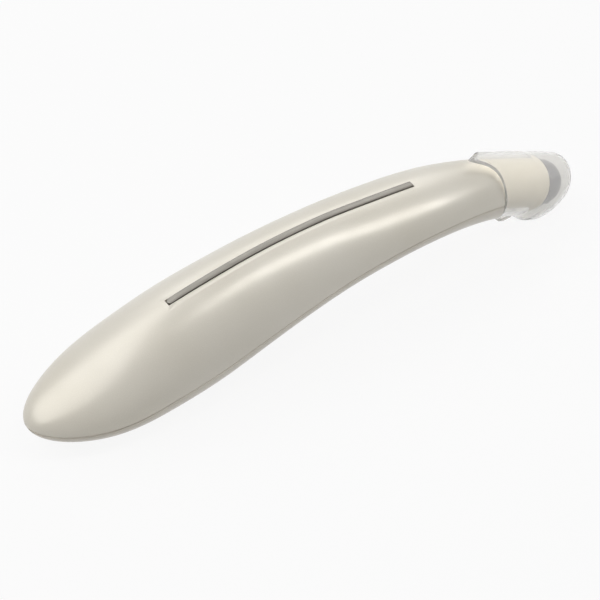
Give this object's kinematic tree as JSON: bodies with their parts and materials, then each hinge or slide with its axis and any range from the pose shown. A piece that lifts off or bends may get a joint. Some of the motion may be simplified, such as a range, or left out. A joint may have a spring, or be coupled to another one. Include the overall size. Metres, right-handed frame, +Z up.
{
  "type": "eye massager",
  "caption": "Arched handheld vibrating eye massager with an inlaid crest strip, a polished metal tip on a slim head, a clear pull-off cap and a battery door and button below.",
  "frame": {"origin": "middle of the bounding box at its base, on the surface that the belly and the cap rest on", "axes": "+X from the butt to the tip along the wand, +Z up out of the crest, +Y to the wand's left"},
  "size_m": [0.1632, 0.0306, 0.0319],
  "materials": {
    "pearl_top": "pearl lacquer",
    "pearl_pan": "pearl lacquer, darker in the shade of the belly",
    "pearl_head": "pearl lacquer",
    "strip_metal": "satin",
    "tip_metal": "polished",
    "cap_clear": "clear moulded plastic",
    "black_rubber": "matte",
    "motor_steel": "plated",
    "endbell_white": "moulded",
    "bush_bronze": "sintered",
    "shaft_steel": "ground",
    "weight_dark": "sintered",
    "wire_red": "wire insulation",
    "wire_black": "wire insulation",
    "board_green": "solder mask",
    "switch_black": "moulded",
    "plunger_white": "moulded",
    "button_pearl": "pearl lacquer",
    "cell_steel": "plated can",
    "jacket_plain": "plain printed sleeve",
    "contact_nickel": "nickel plated",
    "screw_steel": "plated"
  },
  "bodies": {
    "housing": {"upper_shell": "pearl_top", "lower_shell": "pearl_pan", "accent_strip": "strip_metal", "head_sleeve": "pearl_head", "massage_tip": "tip_metal", "tip_ring": "black_rubber", "motor_boot": "black_rubber", "motor_can": "motor_steel", "motor_endbell": "endbell_white", "motor_bush": "bush_bronze", "motor_leads": "wire_red", "circuit_board": "board_green", "switch_body": "switch_black", "battery_cell": "cell_steel", "battery_jacket": "jacket_plain", "battery_spring": "contact_nickel", "spring_plate": "contact_nickel", "contact_plate": "contact_nickel", "battery_leads": "wire_black", "shell_screws": "screw_steel"},
    "cap": {"cap": "cap_clear"},
    "battery_door": {"battery_door": "pearl_pan"},
    "button": {"power_button": "button_pearl", "switch_plunger": "plunger_white"},
    "rotor": {"motor_shaft": "shaft_steel", "eccentric_weight": "weight_dark"}
  },
  "joints": [
    {"name": "cap_slide", "type": "slide", "parent": "housing", "child": "cap", "axis": [0.9081, 0, -0.4187], "range_m": [0, 0.03]},
    {"name": "door_hinge", "type": "hinge", "parent": "housing", "child": "battery_door", "pos_m": [-0.04356, 0, 0.00081], "axis": [0, 1, 0], "range_deg": [0, 75]},
    {"name": "button_press", "type": "slide", "parent": "housing", "child": "button", "axis": [0.0206, 0, 0.9998], "range_m": [0, 0.0008], "stiffness_N_per_m": 1000, "springref_m": -0.001},
    {"name": "rotor_spin", "type": "hinge", "parent": "housing", "child": "rotor", "pos_m": [0.05609, 0, 0.01656], "axis": [0.9081, 0, -0.4187], "continuous": true}
  ]
}
